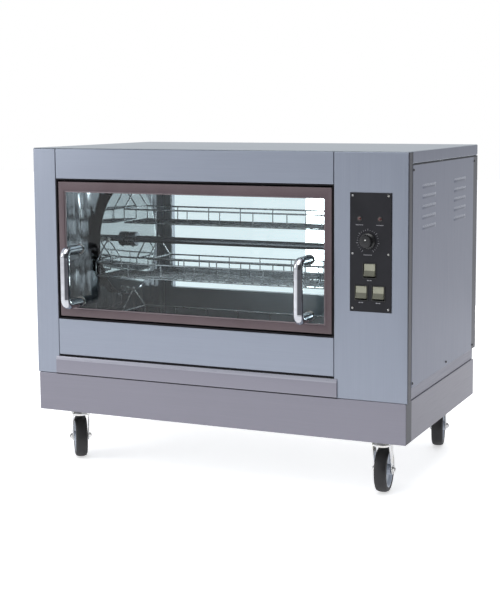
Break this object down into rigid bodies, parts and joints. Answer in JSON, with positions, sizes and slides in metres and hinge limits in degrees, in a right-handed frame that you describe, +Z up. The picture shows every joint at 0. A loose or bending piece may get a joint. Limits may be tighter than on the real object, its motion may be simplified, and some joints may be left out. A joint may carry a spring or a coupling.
{
  "type": "rotisserie oven",
  "caption": "Floor-standing electric rotisserie oven on castors, with a turning basket rotor, a glazed flap door, a rear window, a drip tray and a control column.",
  "frame": {"origin": "on the floor, under the centre of the whole object's box", "axes": "+X along the width towards the control column, +Y from the door to the rear window, +Z up"},
  "size_m": [1.09, 0.7428, 0.885],
  "materials": {
    "brushed_steel": "brushed",
    "polished_steel": "polished",
    "galvanised_steel": "galvanised",
    "floor_pan_steel": "satin",
    "cavity_floor_steel": "darkened",
    "zinc": "zinc plated",
    "castor_rubber": "moulded",
    "door_frame_brown": "satin brown coat",
    "clear_glass": "clear",
    "window_glass": "clear",
    "handle_chrome": "polished",
    "shaft_steel": "turned",
    "basket_wire": "plated wire",
    "bearing_bronze": "machined",
    "sprocket_steel": "oiled",
    "heater_sheath": "heat tinted",
    "mineral_wool": "matt fibre",
    "motor_paint": "satin",
    "control_plate_black": "satin print",
    "knob_black": "gloss",
    "rocker_cream": "gloss",
    "indicator_red": "translucent red",
    "gland_plastic": "moulded",
    "lamp_glass": "frosted"
  },
  "bodies": {
    "cabinet": {"base_plate": "galvanised_steel", "base_skirt": "brushed_steel", "body_floor": "floor_pan_steel", "cable_gland": "gland_plastic", "castor_plate_front_left": "zinc", "castor_plate_front_right": "zinc", "castor_plate_rear_left": "zinc", "castor_plate_rear_right": "zinc", "cavity_ceiling": "polished_steel", "cavity_floor": "cavity_floor_steel", "cavity_lamp": "lamp_glass", "cavity_left_wall": "polished_steel", "cavity_rear_wall": "polished_steel", "cavity_right_wall": "polished_steel", "control_column": "brushed_steel", "control_plate": "control_plate_black", "drive_chain": "sprocket_steel", "gearmotor": "motor_paint", "header_panel": "brushed_steel", "heating_element_front": "heater_sheath", "heating_element_rear": "heater_sheath", "indicator_lamp_left": "indicator_red", "indicator_lamp_right": "indicator_red", "left_bearing": "bearing_bronze", "left_front_post": "brushed_steel", "left_insulation": "mineral_wool", "left_side_cover": "brushed_steel", "lower_front_panel": "brushed_steel", "rear_column_cover": "brushed_steel", "rear_glass": "window_glass", "rear_panel": "brushed_steel", "right_bearing": "bearing_bronze", "right_side_cover": "brushed_steel", "top_cover": "brushed_steel"},
    "door": {"door_frame": "door_frame_brown", "door_glass": "clear_glass", "left_handle": "handle_chrome", "right_handle": "handle_chrome"},
    "rotor": {"rotor_shaft": "shaft_steel", "left_disc": "polished_steel", "right_disc": "polished_steel", "driven_sprocket": "sprocket_steel"},
    "drive_shaft": {"drive_sprocket": "sprocket_steel"},
    "drip_tray": {"drip_tray": "brushed_steel"},
    "timer_knob": {"timer_knob": "knob_black"},
    "basket_1": {"basket_1": "basket_wire"},
    "basket_2": {"basket_2": "basket_wire"},
    "basket_3": {"basket_3": "basket_wire"},
    "basket_4": {"basket_4": "basket_wire"},
    "rocker_switch_1": {"rocker_switch_1": "rocker_cream"},
    "rocker_switch_2": {"rocker_switch_2": "rocker_cream"},
    "rocker_switch_3": {"rocker_switch_3": "rocker_cream"},
    "castor_fork_front_left": {"castor_fork_front_left": "zinc"},
    "castor_wheel_front_left": {"castor_wheel_front_left": "castor_rubber"},
    "castor_fork_front_right": {"castor_fork_front_right": "zinc"},
    "castor_wheel_front_right": {"castor_wheel_front_right": "castor_rubber"},
    "castor_fork_rear_left": {"castor_fork_rear_left": "zinc"},
    "castor_wheel_rear_left": {"castor_wheel_rear_left": "castor_rubber"},
    "castor_fork_rear_right": {"castor_fork_rear_right": "zinc"},
    "castor_wheel_rear_right": {"castor_wheel_rear_right": "castor_rubber"}
  },
  "joints": [
    {"name": "door_hinge", "type": "hinge", "parent": "cabinet", "child": "door", "pos_m": [-0.0623, -0.28325, 0.785], "axis": [-1, 0, 0], "range_deg": [0, 95]},
    {"name": "rotor_spin", "type": "hinge", "parent": "cabinet", "child": "rotor", "pos_m": [-0.072, 0.06975, 0.6025], "axis": [1, 0, 0], "continuous": true},
    {"name": "drive_shaft_spin", "type": "hinge", "parent": "cabinet", "child": "drive_shaft", "pos_m": [0.398, 0.06975, 0.4125], "axis": [1, 0, 0], "continuous": true},
    {"name": "drip_tray_slide", "type": "slide", "parent": "cabinet", "child": "drip_tray", "axis": [0, -1, 0], "range_m": [0, 0.35]},
    {"name": "timer_knob_turn", "type": "hinge", "parent": "cabinet", "child": "timer_knob", "pos_m": [0.4373, -0.30325, 0.6626], "axis": [0, 1, 0], "range_deg": [0, 300]},
    {"name": "basket_1_pivot", "type": "hinge", "parent": "rotor", "child": "basket_1", "pos_m": [-0.072, 0.08168, 0.75403], "axis": [1, 0, 0], "continuous": true},
    {"name": "basket_2_pivot", "type": "hinge", "parent": "rotor", "child": "basket_2", "pos_m": [-0.072, 0.22128, 0.59057], "axis": [1, 0, 0], "continuous": true},
    {"name": "basket_3_pivot", "type": "hinge", "parent": "rotor", "child": "basket_3", "pos_m": [-0.072, 0.05782, 0.45097], "axis": [1, 0, 0], "continuous": true},
    {"name": "basket_4_pivot", "type": "hinge", "parent": "rotor", "child": "basket_4", "pos_m": [-0.072, -0.08178, 0.61443], "axis": [1, 0, 0], "continuous": true},
    {"name": "rocker_switch_1_tilt", "type": "hinge", "parent": "cabinet", "child": "rocker_switch_1", "pos_m": [0.4424, -0.29125, 0.5895], "axis": [1, 0, 0], "range_deg": [0, 20]},
    {"name": "rocker_switch_2_tilt", "type": "hinge", "parent": "cabinet", "child": "rocker_switch_2", "pos_m": [0.4204, -0.29125, 0.5333], "axis": [1, 0, 0], "range_deg": [0, 20]},
    {"name": "rocker_switch_3_tilt", "type": "hinge", "parent": "cabinet", "child": "rocker_switch_3", "pos_m": [0.4655, -0.29125, 0.5333], "axis": [1, 0, 0], "range_deg": [0, 20]},
    {"name": "castor_swivel_front_left", "type": "hinge", "parent": "cabinet", "child": "castor_fork_front_left", "pos_m": [-0.452, -0.22025, 0.14], "axis": [0, 0, 1], "continuous": true},
    {"name": "castor_roll_front_left", "type": "hinge", "parent": "castor_fork_front_left", "child": "castor_wheel_front_left", "pos_m": [-0.46611, -0.20083, 0.059], "axis": [0.809, 0.5878, 0], "continuous": true},
    {"name": "castor_swivel_front_right", "type": "hinge", "parent": "cabinet", "child": "castor_fork_front_right", "pos_m": [0.452, -0.22025, 0.14], "axis": [0, 0, 1], "continuous": true},
    {"name": "castor_roll_front_right", "type": "hinge", "parent": "castor_fork_front_right", "child": "castor_wheel_front_right", "pos_m": [0.44908, -0.19643, 0.059], "axis": [0.9925, 0.1219, 0], "continuous": true},
    {"name": "castor_swivel_rear_left", "type": "hinge", "parent": "cabinet", "child": "castor_fork_rear_left", "pos_m": [-0.452, 0.28375, 0.14], "axis": [0, 0, 1], "continuous": true},
    {"name": "castor_roll_rear_left", "type": "hinge", "parent": "castor_fork_rear_left", "child": "castor_wheel_rear_left", "pos_m": [-0.46021, 0.3063, 0.059], "axis": [0.9397, 0.342, 0], "continuous": true},
    {"name": "castor_swivel_rear_right", "type": "hinge", "parent": "cabinet", "child": "castor_fork_rear_right", "pos_m": [0.452, 0.28375, 0.14], "axis": [0, 0, 1], "continuous": true},
    {"name": "castor_roll_rear_right", "type": "hinge", "parent": "castor_fork_rear_right", "child": "castor_wheel_rear_right", "pos_m": [0.44701, 0.30723, 0.059], "axis": [0.9781, 0.2079, 0], "continuous": true}
  ],
  "couplings": [
    {"joint": "drive_shaft_spin", "follows": "rotor_spin", "ratio": 2},
    {"joint": "basket_1_pivot", "follows": "rotor_spin", "ratio": -1},
    {"joint": "basket_2_pivot", "follows": "rotor_spin", "ratio": -1},
    {"joint": "basket_3_pivot", "follows": "rotor_spin", "ratio": -1},
    {"joint": "basket_4_pivot", "follows": "rotor_spin", "ratio": -1}
  ]
}
